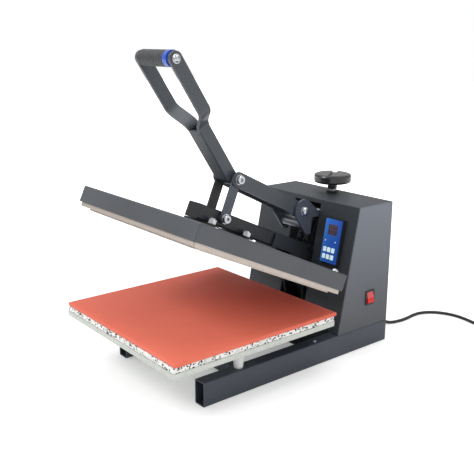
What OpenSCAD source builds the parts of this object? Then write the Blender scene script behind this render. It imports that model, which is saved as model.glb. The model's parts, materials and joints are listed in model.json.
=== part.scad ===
// Clamshell heat press: a tilting heated platen over a padded board, closed by a toggle lever.
// Millimetres. +X is the operator's right, +Y runs to the back, +Z is up.
// Depths (y) are measured from the centre of the lower platen; placed() moves them to the origin.

/* [Lower platen] */
// Width and depth of the lower platen board
platen_side = 380; // [360:1:384]
// Height of the board's underside
platen_z = 98.3; // [90:0.1:99]
// Thickness of the aluminium plate under the board
plate_t = 10.2; // [6:0.1:10.2]
// Thickness of the speckled foam board
foam_t = 9.5; // [6:0.1:9.5]
// Thickness of the silicone pad
pad_t = 8; // [5:0.1:8]
// How far the pad sits behind the board's centre
pad_shift = 3.8; // [0:0.1:4]

/* [Base] */
// Width of a base rail
rail_w = 27.6; // [24:0.1:30]
// Height of a base rail
rail_h = 48.2; // [48.2]
// Wall of the rail tube
rail_wall = 2; // [1.5:0.1:3]
// Half of the width across both rails
rail_out = 149; // [148:0.5:150]
// Front end of the rails
rail_front = -98.5; // [-120:0.5:-60]

/* [Upper platen] */
// Half width of the platen cover
cover_hw = 195.8; // [190:0.1:196]
// Half length of the platen cover
cover_hl = 194.5; // [190:0.1:195]
// Height of the cover's folded sides
cover_h = 33; // [28:0.5:33]
// Height of the cover's top when the press is closed
cover_top = 171.2; // [171.2]
// How far the heated plate's working face lies under the cover
heat_t = 11.5; // [9:0.1:11.5]
// Thickness of the heated plate's rim that shows under the cover
lip_t = 8; // [6:0.1:8.5]
// Angle by which the platen stands open
open_angle = 24.7; // [15:0.1:24.7]

/* [Lever] */
// Angle of the handle from the vertical
handle_lean = 33.2; // [33.2]
// Depth of the handle's bar and fork flats
flat_d = 26.5; // [22:0.5:28]
// Half width across the fork flats, right of the arm
fork_hw = 52; // [48:0.5:56]
// Half width across the fork flats, left of the arm
fork_left_hw = 60; // [52:0.5:62]
// Thickness of a fork flat
flat_t = 6; // [5:0.5:7]
// Radius of the foam grip
grip_r = 15; // [14:0.5:16]

/* [Housing] */
// Half width of the housing
house_hw = 149; // [149]
// Height of the housing's top
house_top = 313; // [313]
// Thickness of the housing's sheet
house_t = 2; // [1.5:0.1:2]
// Diameter of the pressure knob
knob_d = 82; // [70:1:84]
// Thickness of the pressure knob
knob_t = 20; // [16:1:20]

/* [Cord] */
// Diameter of the mains lead
cord_d = 7; // [7]

/* [Hidden] */
$fn = 48;

gap = 0.3;                   // air between parts of different bodies
run = 0.05;                  // running clearance on a shaft, radial

// Pivots as [y, z], with the press open. The links pass through their dead centre when it closes.
hinge = [267, 132.5];
lever_pivot = [249, 293.415];
link_top = [77, 379.5];
link_foot = [46, 305.5];
rocker_pivot = [311, 283];
spring_foot = [246.7, 203];    // as it is with the platen closed
hinge_r = 8;
bolt_r = 6;

// Layers across the linkage, outwards from the middle
arm_hw = 20;                 // channel arm and handle bar
link_x = [22.3, 27.3];
flange_x = [27.9, 31.9];
rocker_x = [32.4, 37.4];
washer_t = 1.6;

// Housing side outline: slanted front face, flat top, upright back
front_foot = [246.4, rail_h];
front_head = [298, house_top];
house_rear = 399;
front_lean = atan((front_head[0] - front_foot[0]) / (front_head[1] - front_foot[1]));
slot_hw = 40;
knob_y = 371;
// The origin is midway between the lower platen's front and the knob's back
origin_y = (knob_y + knob_d / 2 - platen_side / 2) / 2;
rail_rear = house_rear;
cover_bottom = cover_top - cover_h;
heat_bottom = cover_bottom - heat_t;
arm_bottom = cover_top + 8;
arm_h = 30;
arm_front = -64;
arm_rear = 205;
stud_at = [[32, -38.5], [32, 55], [-32, -38.5], [-32, 55]];
stud_r = 5;
nut_r = 9;
nut_h = 7;
tab_t = 4;
pad_top = platen_z + plate_t + foam_t + pad_t;

// ---------- helpers ----------
module placed() { translate([0, -origin_y, 0]) children(); }
// Everything on the moving platen is drawn closed and swung open about its hinge
module opened() { placed() turned(hinge, -open_angle) children(); }
module turned(p, a) {
    translate([0, p[0], p[1]]) rotate([a, 0, 0]) translate([0, -p[0], -p[1]]) children();
}
module mirrored() { children(); mirror([1, 0, 0]) children(); }
// An outline in the y-z plane, made thick from x0 to x1
module slab_x(x0, x1) { translate([x0, 0, 0]) rotate([90, 0, 90]) linear_extrude(x1 - x0) children(); }
module disc_x(p, r, x0, x1) { translate([x0, p[0], p[1]]) rotate([0, 90, 0]) cylinder(r = r, h = x1 - x0); }
module disc_at(p, r) { translate(p) circle(r = r); }
// A bar outline with round ends, from p to q
module capsule(p, q, r) {
    disc_at(p, r);
    disc_at(q, r);
    d = q - p;
    flank = r - 0.01;        // a hair inside the round ends, so that no edge is tangent
    translate(p) rotate(atan2(d[1], d[0])) translate([0, -flank]) square([norm(d), 2 * flank]);
}
module round_rect(w, h, r) {
    square([w - 2 * r, h], center = true);
    square([w, h - 2 * r], center = true);
    for (x = [-1, 1], y = [-1, 1]) disc_at([x * (w / 2 - r), y * (h / 2 - r)], r);
}
module hex(r, h) { cylinder(r = r, h = h, $fn = 6); }
// A frame on the slanted front face: x across, y up the face, z out of it
module on_front(x, s) {
    translate([x, front_foot[0], front_foot[1]]) rotate([90 - front_lean, 0, 0]) translate([0, s, 0]) children();
}
// A frame on the handle: y across its depth, z up along it, from the link pivot
module on_handle() { placed() translate([0, link_top[0], link_top[1]]) rotate([handle_lean, 0, 0]) children(); }
module soft_box(x0, x1, y0, y1, z0, z1, r) {
    hull() for (x = [x0 + r, x1 - r], y = [y0 + r, y1 - r], z = [z0 + r, z1 - r])
        translate([x, y, z]) sphere(r = r, $fn = 16);
}

// ---------- base ----------
module base_rail() {
    translate([rail_out - rail_w / 2, rail_rear, rail_h / 2]) rotate([90, 0, 0])
        linear_extrude(rail_rear - rail_front) difference() {
            round_rect(rail_w, rail_h, 2.5);
            round_rect(rail_w - 2 * rail_wall, rail_h - 2 * rail_wall, 1);
        }
}
standoff_at = [[135.2, -8], [-135.2, -8]];
spacer_post_at = [[105, 168], [-105, 168]];
trim_screw_at = [138, 189];
module rail_holes() {
    translate([standoff_at[0][0], standoff_at[0][1], rail_h - 5]) cylinder(r = 3.2, h = 6);
    translate([trim_screw_at[0], trim_screw_at[1], rail_h - 5]) cylinder(r = 2, h = 6);
}
module base_rail_left() color("#3c4148") placed() mirror([1, 0, 0]) difference() {
    base_rail();
    rail_holes();
}
module base_rail_right() color("#3c4148") placed() difference() {
    base_rail();
    rail_holes();
}
module base_crossbars() color("#3c4148") placed() {
    span = 2 * (rail_out - rail_w);
    for (y = [20, 330]) translate([-span / 2, y, 20]) rotate([90, 0, 90]) linear_extrude(span) difference() {
        round_rect(30, 24, 2);
        round_rect(26, 20, 1);
    }
}
plate_front = 152;
module base_plate() color("#33373c") placed() difference() {
    union() {
        translate([-(rail_out - rail_w), plate_front, rail_h - 4])
            cube([2 * (rail_out - rail_w), rail_rear - plate_front - 3, 4]);
        for (p = spacer_post_at) translate([p[0], p[1], rail_h - 1]) cylinder(r = 10, h = platen_z - rail_h + 1);
    }
    for (p = spacer_post_at) translate([p[0], p[1], rail_h - 10]) cylinder(r = 3.05, h = platen_z - rail_h + 12);
}
module platen_standoffs() color("#e9e6df") placed() for (p = standoff_at)
    translate([p[0], p[1], rail_h]) difference() {
        rotate_extrude() polygon([[0, 0], [8, 0], [8.6, 1.5], [13.2, platen_z - rail_h - 8],
            [13.2, platen_z - rail_h], [0, platen_z - rail_h]]);
        translate([0, 0, -1]) cylinder(r = 3.05, h = platen_z - rail_h + 2);
    }
module pan_screw(r, h, shank_r, shank) {
    rotate_extrude() polygon([[0, 0], [r, 0], [r, h * 0.4], [r * 0.7, h * 0.9], [r * 0.3, h], [0, h]]);
    translate([0, 0, -shank]) cylinder(r = shank_r, h = shank + 0.5);
}
module base_screws() color("#c9ccd0") placed() {
    for (p = standoff_at) translate([p[0], p[1], rail_h - rail_wall]) mirror([0, 0, 1])
        pan_screw(5.5, 3.5, 3, platen_z - rail_h + rail_wall + 4);
    for (p = spacer_post_at) translate([p[0], p[1], rail_h - 4]) mirror([0, 0, 1])
        pan_screw(5.5, 3.5, 3, platen_z - rail_h + 8);
    for (m = [0, 1]) mirror([m, 0, 0]) translate([trim_screw_at[0], trim_screw_at[1], rail_h])
        pan_screw(4.2, 2.8, 2, rail_wall);
}

// ---------- lower platen ----------
module lower_platen_plate() color("#d9d8d2") placed() difference() {
    translate([-platen_side / 2, -platen_side / 2, platen_z]) cube([platen_side, platen_side, plate_t]);
    for (p = concat(standoff_at, spacer_post_at)) translate([p[0], p[1], platen_z - 1]) cylinder(r = 3.05, h = 6);
}
module foam_board() color("#f2f1ec") placed()
    translate([-platen_side / 2 + 0.5, -platen_side / 2 + 0.5, platen_z + plate_t])
        cube([platen_side - 1, platen_side - 1, foam_t]);
module silicone_pad() color("#d2604a") placed()
    translate([-platen_side / 2 - 0.8, -platen_side / 2 + 1.7, pad_top - pad_t])
        cube([platen_side + 1.6, platen_side + pad_shift - 0.3, pad_t]);

// ---------- upper platen ----------
heat_hw = cover_hw - 3.5;
heat_hl = cover_hl - 3.5;
face_in = 14;                // how far the working face is set in from the rim
heat_core = 14;              // how far the casting reaches up inside the cover
module heating_plate() color("#d8d3cc") opened() difference() {
    union() {
        translate([0, 0, cover_bottom - lip_t]) linear_extrude(lip_t + 2) round_rect(2 * heat_hw, 2 * heat_hl, 5);
        translate([0, 0, heat_bottom]) linear_extrude(heat_t)
            round_rect(2 * (heat_hw - face_in), 2 * (heat_hl - face_in), 6);
        translate([-heat_hw + 25, -heat_hl + 25, heat_bottom + 2])
            cube([2 * heat_hw - 50, 2 * heat_hl - 50, heat_t + heat_core - 6]);
    }
    for (p = stud_at) translate([p[0], p[1], heat_bottom + 6]) cylinder(r = stud_r, h = 30);
}
module insulation_blanket() color("#e8dfc2") opened() difference() {
    translate([-170, -170, heat_bottom + heat_t + heat_core - 4]) cube([340, 340, 9]);
    for (p = stud_at) translate([p[0], p[1], cover_bottom]) cylinder(r = stud_r + 2, h = 40);
}
module platen_cover() color("#53575d") opened() difference() {
    union() {
        soft_box(-cover_hw, cover_hw, -cover_hl, cover_hl, cover_bottom, cover_top, 3.5);
        translate([0, 0, cover_bottom]) linear_extrude(12) round_rect(2 * cover_hw, 2 * cover_hl, 3.5);
    }
    soft_box(-cover_hw + 2, cover_hw - 2, -cover_hl + 2, cover_hl - 2, cover_bottom - 20, cover_top - 2, 2);
    for (p = stud_at) translate([p[0], p[1], cover_top - 4]) cylinder(r = stud_r + 0.5, h = 8);
}
module platen_studs() color("#c9ccd0") opened() for (p = stud_at)
    translate([p[0], p[1], heat_bottom + 6]) cylinder(r = stud_r, h = arm_bottom + nut_h + 4 - heat_bottom - 6);
module platen_nuts() color("#eceeef") opened() for (p = stud_at) {
    // washer and nut on top of the cross plate
    translate([p[0], p[1], arm_bottom]) ring(nut_r, stud_r, washer_t);
    translate([p[0], p[1], arm_bottom + washer_t]) difference() {
        rotate(30) hex(nut_r - 0.5, nut_h);
        translate([0, 0, -1]) cylinder(r = stud_r, h = nut_h + 2);
    }
}
module ring(ro, ri, h) difference() {
    cylinder(r = ro, h = h);
    translate([0, 0, -1]) cylinder(r = ri, h = h + 2);
}
module channel_arm() color("#2b3036") opened() difference() {
    translate([-arm_hw, arm_front, arm_bottom]) translate([arm_hw, arm_rear - arm_front, arm_h / 2])
        rotate([90, 0, 0]) linear_extrude(arm_rear - arm_front) difference() {
            round_rect(2 * arm_hw, arm_h, 3.5);
            round_rect(2 * arm_hw - 6, arm_h - 6, 1);
        }
    // shut front end is a separate cap wall left by starting the hollow behind it
    translate([-arm_hw - 1, arm_rear + 0.1, arm_bottom - 1]) cube([2 * arm_hw + 2, 5, arm_h + 2]);
}
module arm_cross_plates() color("#2b3036") opened() {
    for (y = [stud_at[0][1], stud_at[1][1]]) difference() {
        union() {
            translate([0, y, arm_bottom - tab_t]) linear_extrude(tab_t) round_rect(92, 20, 3);
            // spacer sleeves welded under the plate
            for (x = [-32, 32]) translate([x, y, cover_top]) cylinder(r = 8.5, h = arm_bottom - cover_top - 1);
        }
        for (x = [-32, 32]) translate([x, y, cover_top - 1]) cylinder(r = stud_r + 0.25, h = arm_bottom - cover_top + 2);
    }
    // end cap of the channel
    translate([0, arm_front, arm_bottom + arm_h / 2]) rotate([90, 0, 0])
        linear_extrude(3) round_rect(2 * arm_hw, arm_h, 3.5);
}
hub_r = 15;
module hinge_plates() color("#2b3036") opened() {
    mirrored() hinge_plate();
    // tube welded between the plates, round the shaft
    difference() {
        disc_x(hinge, 12, -arm_hw - 1, arm_hw + 1);
        disc_x(hinge, hinge_r + run, -arm_hw - 2, arm_hw + 2);
    }
}
module hinge_plate() difference() {
    slab_x(arm_hw, arm_hw + 5) union() {
        polygon([[140, arm_bottom], [140, arm_bottom + 24], [146, arm_bottom + arm_h], [238, arm_bottom + arm_h],
            spring_foot + [-9, 6], spring_foot + [9, 6], spring_foot + [10, -12],
            [hinge[0] + hub_r * 0.75, hinge[1] + hub_r * 0.66], [hinge[0] - hub_r * 0.6, hinge[1] - hub_r * 0.8],
            [208, arm_bottom - 16], [200, arm_bottom]]);
        disc_at(hinge, hub_r);
    }
    disc_x(hinge, hinge_r + run, arm_hw - 1, arm_hw + 6);
    disc_x(spring_foot, 4, arm_hw - 1, arm_hw + 6);
}

// ---------- platen hinge on the frame ----------
bracket_x = [arm_hw + 5 + gap, arm_hw + 11];
module hinge_brackets() color("#2f3338") placed() mirrored() difference() {
    slab_x(bracket_x[0], bracket_x[1]) union() {
        // the front edge steps back to clear the housing's front sheet under the slot
        polygon([[hinge[0] - hub_r, hinge[1]], [hinge[0] + hub_r, hinge[1]], [312, rail_h], [259.5, rail_h],
            [259.5, 97]]);
        disc_at(hinge, hub_r);
    }
    disc_x(hinge, hinge_r, bracket_x[0] - 1, bracket_x[1] + 1);
}
module hinge_shaft() color("#c9ccd0") placed() {
    disc_x(hinge, hinge_r, -bracket_x[1] - 4, bracket_x[1] + 4);
    for (m = [0, 1]) mirror([m, 0, 0]) translate([bracket_x[1], 0, 0]) difference() {
        disc_x(hinge, 12.5, 0, 3);
        disc_x(hinge, hinge_r, -1, 4);
    }
}

// ---------- pressure tower inside the housing ----------
tower_x = [44, 47];
tower_rear = 392;
yoke_top = 305;
function face_y(z) = front_foot[0] + (z - front_foot[1]) * tan(front_lean);
module tower_frame() color("#8d9196") placed() {
    mirrored() difference() {
        slab_x(tower_x[0], tower_x[1])
            polygon([[face_y(rail_h) + 8, rail_h], [face_y(300) + 6, 300], [tower_rear, 300], [tower_rear, rail_h]]);
        disc_x(rocker_pivot, bolt_r, tower_x[0] - 1, tower_x[1] + 1);
    }
    // back wall and the yoke that the pressure screw turns in
    translate([-tower_x[0], tower_rear - 3, rail_h]) cube([2 * tower_x[0], 3, 300 - rail_h]);
    difference() {
        translate([-tower_x[0], knob_y - 18, yoke_top - 5]) cube([2 * tower_x[0], 36, 5]);
        translate([0, knob_y, 299]) cylinder(r = bolt_r + 0.6, h = 8);
    }
}
module rocker_outline() {
    ear_r = 24.5;
    disc_at(lever_pivot, ear_r);
    polygon([lever_pivot + [12, 21.3], [293, 287.5], [330, 292], [383, 292], [383, 272], [330, 270], [296, 275.5],
        [272.5, 277], [269.5, 240], [255, 242], lever_pivot + [-16, -18.5]]);
}
spacer_at = [258, 262];
trunnion_at = [knob_y, 282];
module rocker_plates() color("#5b6067") placed() mirrored() difference() {
    slab_x(rocker_x[0], rocker_x[1]) rocker_outline();
    disc_x(lever_pivot, bolt_r, rocker_x[0] - 1, rocker_x[1] + 1);
    disc_x(rocker_pivot, bolt_r + run, rocker_x[0] - 1, rocker_x[1] + 1);
    disc_x(trunnion_at, bolt_r, rocker_x[0] - 1, rocker_x[1] + 1);
}
module rocker_spacer() color("#8d9196") placed() disc_x(spacer_at, 11, -rocker_x[0], rocker_x[0]);
module rocker_pin() color("#c9ccd0") placed() {
    disc_x(rocker_pivot, bolt_r, -tower_x[1] - 3, tower_x[1] + 3);
    mirrored() translate([rocker_x[1] + gap, 0, 0]) difference() {
        disc_x(rocker_pivot, 10, 0, tower_x[0] - rocker_x[1] - gap);
        disc_x(rocker_pivot, bolt_r, -1, 10);
    }
}
module trunnion_block() color("#b9bdc2") placed() difference() {
    union() {
        disc_x(trunnion_at, 11, -rocker_x[0], rocker_x[0]);
        disc_x(trunnion_at, bolt_r, -rocker_x[1], rocker_x[1]);
    }
    translate([0, trunnion_at[0], trunnion_at[1] - 20]) cylinder(r = bolt_r + 0.6, h = 40);
}
neck_top = 335;
module pressure_screw() color("#c9ccd0") placed() {
    translate([0, knob_y, 240]) cylinder(r = bolt_r, h = neck_top - 240 + 8);
    translate([0, knob_y, yoke_top + gap]) ring(10, bolt_r, 3.3);
}
module pressure_knob() color("#1f2226") placed() translate([0, knob_y, neck_top]) difference() {
    union() {
        rotate_extrude() polygon([[0, 0], [knob_d / 2 - 5, 0], [knob_d / 2 - 1.6, 1.2], [knob_d / 2, 4.5],
            [knob_d / 2, knob_t - 4.5], [knob_d / 2 - 1.4, knob_t - 1.6], [knob_d / 2 - 5, knob_t],
            [0, knob_t]]);
        translate([0, 0, -14]) cylinder(r = 10.5, h = 15);
    }
    translate([0, 0, -15]) cylinder(r = bolt_r, h = 23);
    // finger slot, open to the rim at the back only
    rotate(34.7) translate([0, 8, knob_t]) cube([12, knob_d + 2, 9], center = true);
}
module screw_bush() color("#2b2e32") placed() translate([0, knob_y, 0]) difference() {
    union() {
        translate([0, 0, house_top - house_t - 2]) cylinder(r = 9, h = house_t + 2);
        translate([0, 0, house_top]) cylinder(r = 13, h = 3.5);
    }
    translate([0, 0, house_top - 10]) cylinder(r = bolt_r + run, h = 20);
}

// ---------- lever ----------
nose_r = 15;
module lever_arm() color("#555a61") placed() difference() {
    union() {
        mirrored() slab_x(flange_x[0], flange_x[1]) capsule(link_top, lever_pivot, nose_r);
        // web joining the flanges along the top, stopping short of the handle bar
        lean = atan2(lever_pivot[1] - link_top[1], lever_pivot[0] - link_top[0]);
        slab_x(-flange_x[0], flange_x[0]) translate(link_top) rotate(lean)
            translate([28, nose_r - 4]) square([norm(lever_pivot - link_top) - 34, 4]);
    }
    disc_x(lever_pivot, bolt_r + run, -flange_x[1] - 1, flange_x[1] + 1);
    disc_x(link_top, bolt_r, -flange_x[1] - 1, flange_x[1] + 1);
}
// The handle bar's middle runs bar_set in front of the link pivot
bar_set = -4;
bar_top = 126;
bar_foot = 9;                // clears the channel arm when the press is shut
module handle_bar() color("#5d6269") difference() {
    union() {
        on_handle() translate([0, bar_set, bar_foot]) linear_extrude(bar_top - bar_foot) difference() {
            round_rect(2 * arm_hw, flat_d, 3);
            round_rect(2 * arm_hw - 8, flat_d - 8, 1.5);
        }
        placed() disc_x(link_top, 12.5, -arm_hw, arm_hw);
    }
    placed() disc_x(link_top, bolt_r, -arm_hw - 1, arm_hw + 1);
}
// Centre line of a fork flat: in line with the bar, out in an S, then straight to the grip
grip_at = bar_top + 152;
function s_curve(t) = t * t * (3 - 2 * t);
bend_from = bar_top + 2;
bend_to = bar_top + 44;
flat_in = arm_hw - flat_t / 2;
function flat_x(z, hw) = flat_in + (hw - flat_t / 2 - flat_in)
    * s_curve(min(1, max(0, (z - bend_from) / (bend_to - bend_from))));
flat_steps = concat([bar_top - 14], [for (i = [0:12]) bend_from + (bend_to - bend_from) * i / 12], [grip_at + 14]);
function flat_slope(z, hw) = flat_x(z + 0.5, hw) - flat_x(z - 0.5, hw);
function flat_edge(z, side, hw) = let (a = atan(flat_slope(z, hw)))
    [flat_x(z, hw) + side * flat_t / 2 * cos(a), z - side * flat_t / 2 * sin(a)];
module fork_flat(hw) difference() {
    intersection() {
        translate([0, bar_set + flat_d / 2, 0]) rotate([90, 0, 0]) linear_extrude(flat_d)
            polygon(concat([for (z = flat_steps) flat_edge(z, 1, hw)],
                [for (i = [len(flat_steps) - 1:-1:0]) flat_edge(flat_steps[i], -1, hw)]));
        rotate([90, 0, 90]) linear_extrude(hw + 2) capsule([bar_set, 0], [bar_set, grip_at], flat_d / 2);
    }
    translate([0, bar_set, grip_at]) rotate([0, 90, 0]) cylinder(r = 5, h = hw + 5);
    translate([-arm_hw, bar_set - flat_d, bar_top - 30]) cube([2 * arm_hw + 0.01, 2 * flat_d, 30]);
}
module fork_right() color("#666b73") on_handle() fork_flat(fork_hw);
module fork_left() color("#666b73") on_handle() mirror([1, 0, 0]) fork_flat(fork_left_hw);
fork_in = fork_hw - flat_t;
fork_left_in = fork_left_hw - flat_t;
band_x = [30, 42];
module on_grip() { on_handle() translate([0, bar_set, grip_at]) rotate([0, 90, 0]) children(); }
module grip_bolt() color("#dfe2e5") on_grip() {
    translate([0, 0, -fork_left_hw - 8]) cylinder(r = 5, h = fork_left_hw + fork_hw + 10);
    translate([0, 0, fork_hw]) rotate_extrude()
        polygon([[0, 0], [8.5, 0], [8.5, 1.6], [7, 2], [6.4, 4.4], [4.4, 6.2], [0, 6.8]]);
    translate([0, 0, -fork_left_hw - 7]) difference() {
        hex(9, 7);
        translate([0, 0, -1]) cylinder(r = 5, h = 9);
    }
}
function rib_r(x) = grip_r - 0.7 + 0.7 * cos(360 * x / 14);
module grip_foam() color("#24272b") on_grip() rotate_extrude()
    polygon(concat([[5, -fork_left_in + 0.2]], [for (x = [-fork_left_in + 0.2:1.4:band_x[0] - 0.1]) [rib_r(x), x]],
        [[grip_r - 0.5, band_x[0]], [5, band_x[0]]]));
module grip_band() color("#2b4fb0") on_grip() {
    translate([0, 0, band_x[0]]) ring(grip_r, 5, band_x[1] - band_x[0]);
    translate([0, 0, band_x[1]]) ring(grip_r - 3, 5, fork_in - band_x[1]);
}
module lever_pivot_bolt() color("#e4e7ea") placed() {
    disc_x(lever_pivot, bolt_r, -rocker_x[1] - 9, rocker_x[1] + 1);
    translate([rocker_x[1], lever_pivot[0], lever_pivot[1]]) rotate([0, 90, 0]) rotate_extrude()
        polygon([[0, 0], [11, 0], [11, 1.6], [9.2, 1.6], [9, 4.4], [7, 7], [3.6, 8.4], [0, 8.8]]);
    translate([-rocker_x[1], lever_pivot[0], lever_pivot[1]]) rotate([0, -90, 0]) difference() {
        hex(10.5, 8);
        translate([0, 0, -1]) cylinder(r = bolt_r, h = 10);
    }
}

// ---------- links ----------
link_r = 10.5;
module link_plate() difference() {
    slab_x(link_x[0], link_x[1]) capsule(link_top, link_foot, link_r);
    disc_x(link_top, bolt_r + run, link_x[0] - 1, link_x[1] + 1);
    disc_x(link_foot, bolt_r, link_x[0] - 1, link_x[1] + 1);
}
module link_right() color("#6c7178") placed() link_plate();
module link_left() color("#6c7178") placed() mirror([1, 0, 0]) link_plate();
module link_upper_bolt() color("#e4e7ea") placed() {
    disc_x(link_top, bolt_r, -flange_x[1] - 9, flange_x[1] + 1);
    translate([flange_x[1], link_top[0], link_top[1]]) rotate([0, 90, 0]) bolt_head();
    translate([-flange_x[1], link_top[0], link_top[1]]) rotate([0, -90, 0]) difference() {
        hex(10, 8);
        translate([0, 0, -1]) cylinder(r = bolt_r, h = 10);
    }
}
// Socket head on a washer
module bolt_head() difference() {
    rotate_extrude() polygon([[0, 0], [10, 0], [10, washer_t], [8.6, washer_t], [8.6, 7.4], [7.6, 8.6], [0, 8.6]]);
    translate([0, 0, 5]) hex(4.4, 5);
}
// Each lower bolt stays with its link and ends clear of the channel arm: the linkage is open here
module link_lower_bolts() color("#e4e7ea") placed() mirrored() {
    disc_x(link_foot, bolt_r, arm_hw + 0.4, link_x[1] + 1);
    translate([link_x[1], link_foot[0], link_foot[1]]) rotate([0, 90, 0]) bolt_head();
    translate([arm_hw + 0.4, 0, 0]) difference() {
        disc_x(link_foot, 10, 0, link_x[0] - arm_hw - 0.4);
        disc_x(link_foot, bolt_r, -1, 5);
    }
}

// ---------- lift springs ----------
// They hang from the rocker's pin and pull on a pin between the gussets
spring_x = 10;
spring_r = 8;
spring_eye = 9;
function swung(p, a) = hinge + [cos(a) * (p - hinge)[0] - sin(a) * (p - hinge)[1],
    sin(a) * (p - hinge)[0] + cos(a) * (p - hinge)[1]];
module lift_springs() color("#26292d") placed() mirrored() {
    foot = swung(spring_foot, -open_angle);
    d = foot - rocker_pivot;
    long = norm(d);
    translate([spring_x, rocker_pivot[0], rocker_pivot[1]]) rotate([atan2(d[1], d[0]), 0, 0])
        rotate([-90, 0, 0]) translate([0, 0, spring_eye]) ring(spring_r, spring_r - 2.4, long - 2 * spring_eye);
}
module spring_pin() color("#c9ccd0") opened() disc_x(spring_foot, 4, -arm_hw - 5, arm_hw + 5);

// ---------- housing ----------
module housing_outline(inset) {
    polygon([front_foot + [inset, -inset * 4], [front_head[0] + inset * 1.1, house_top - inset],
        [house_rear + inset * 4, house_top - inset], [house_rear + inset * 4, rail_h - inset * 4]]);
}
edge_r = 2.5;
module housing_body() hull() mirrored() {
    x = house_hw - edge_r;
    translate([x, front_foot[0] + edge_r, rail_h]) cylinder(r = edge_r, h = 1, $fn = 24);
    translate([x, front_head[0] + edge_r, house_top - edge_r]) sphere(r = edge_r, $fn = 24);
    translate([x, house_rear, house_top - edge_r]) rotate([90, 0, 0]) cylinder(r = edge_r, h = 1, $fn = 24);
    translate([house_hw - 1, house_rear - 1, rail_h]) cube([1, 1, 1]);
}
module housing_shell() color("#4c5157") placed() difference() {
    housing_body();
    slab_x(-house_hw + house_t, house_hw - house_t) housing_outline(house_t);
    // slot for the linkage
    on_front(0, 0) translate([-slot_hw, 46, -30]) cube([2 * slot_hw, 214, 60]);
    // window for the control box's back, and the holes for the screw bush and the switch
    on_front(95, 189.4) cube([40, 84, 20], center = true);
    translate([0, knob_y, house_top - 6]) cylinder(r = 9, h = 12);
    translate([house_hw - 4, 340 - 11.5, 112.5 - 14]) cube([8, 23, 28]);
}
vent_rows = 6;
rear_screw_z = [62, 180, 300];
module rear_cover() color("#43484e") placed() difference() {
    translate([0, house_rear + 1.5, (rail_h + house_top) / 2]) rotate([90, 0, 0])
        linear_extrude(1.5) round_rect(2 * house_hw - 4, house_top - rail_h - 2, 4);
    for (x = [-139, 139], z = rear_screw_z) translate([x, house_rear + 3, z]) rotate([90, 0, 0]) cylinder(r = 1.8, h = 8);
    for (i = [0:vent_rows - 1], x = [-70, 70]) translate([x, house_rear + 3, 130 + 16 * i]) rotate([90, 0, 0])
        linear_extrude(6) round_rect(72, 5, 2.4);
    translate([gland_at[0], house_rear + 4, gland_at[2]]) rotate([90, 0, 0]) cylinder(r = 6.5, h = 8);
}
module rear_screws() color("#c9ccd0") placed()
    for (x = [-139, 139], z = rear_screw_z) translate([x, house_rear + 1.5, z]) rotate([-90, 0, 0])
        pan_screw(4, 2.3, 1.8, 8);

// ---------- control panel ----------
panel_x = 95;
panel_s = 189.4;
panel_w = 46;
panel_h = 92;
box_t = 9.4;
overlay_t = 0.8;
key_pitch = [11.4, 14.8];
key_size = [8.2, 9.8];
key_at = [-1.8, -18.6];      // middle of the upper row of keys, from the panel's centre
window_size = [26, 22];
window_s = 23.7;
module control_box() color("#15181b") placed() on_front(panel_x, panel_s) difference() {
    union() {
        linear_extrude(box_t) round_rect(panel_w + 3.4, panel_h + 5, 2.5);
        translate([0, 0, -12]) linear_extrude(12.5) round_rect(39, 83, 2);
    }
    translate([0, 0, -10]) linear_extrude(box_t + 8.2) round_rect(36, 79, 2);
    translate([0, window_s, box_t - 3]) linear_extrude(5) square(window_size - [4, 4], center = true);
    for (k = [0:5]) translate(key_place(k)) translate([0, 0, box_t - 3]) linear_extrude(5) square([5.2, 5.2], center = true);
}
function key_place(k) = [key_at[0] + (k % 3 - 1) * key_pitch[0], key_at[1] - floor(k / 3) * key_pitch[1], 0];
module control_overlay() color("#2f6fd0") placed() on_front(panel_x, panel_s) translate([0, 0, box_t]) difference() {
    linear_extrude(overlay_t) round_rect(panel_w, panel_h, 2);
    translate([0, window_s, -1]) linear_extrude(4) square(window_size, center = true);
    for (k = [0:5]) translate(key_place(k)) translate([0, 0, -1])
        linear_extrude(4) square(key_size + [0.6, 0.6], center = true);
}
module control_board() color("#2f6b3d") placed() on_front(panel_x, panel_s)
    translate([0, 0, -6]) linear_extrude(1.6) square([34, 76], center = true);
module display_window() color("#6a2a20") placed() on_front(panel_x, panel_s)
    translate([0, window_s, box_t - 1]) {
        translate([0, 0, 1]) linear_extrude(overlay_t - 0.3) square(window_size, center = true);
        translate([0, 0, -5]) linear_extrude(6) square(window_size - [5, 5], center = true);
    }
module key(k) color("#dff0f4") placed() on_front(panel_x, panel_s) translate(key_place(k)) {
    translate([0, 0, box_t + 1.0]) linear_extrude(1.0) round_rect(key_size[0], key_size[1], 1.2);
    translate([0, 0, box_t - 4]) linear_extrude(5.2) square([4.2, 4.2], center = true);
}
module button_1() key(0);
module button_2() key(1);
module button_3() key(2);
module button_4() key(3);
module button_5() key(4);
module button_6() key(5);

// ---------- mains switch ----------
switch_at = [340, 112.5];
module on_side() { placed() translate([house_hw, switch_at[0], switch_at[1]]) rotate([90, 0, 90]) children(); }
module switch_bezel() color("#141414") on_side() difference() {
    union() {
        linear_extrude(2.2) round_rect(27, 32, 2);
        translate([0, 0, -20]) linear_extrude(20.5) square([22.6, 27.6], center = true);
    }
    translate([0, 0, -16]) linear_extrude(20) square([19.4, 25.4], center = true);
}
rocker_axis_in = 2;
rocker_swing = 15;
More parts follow.
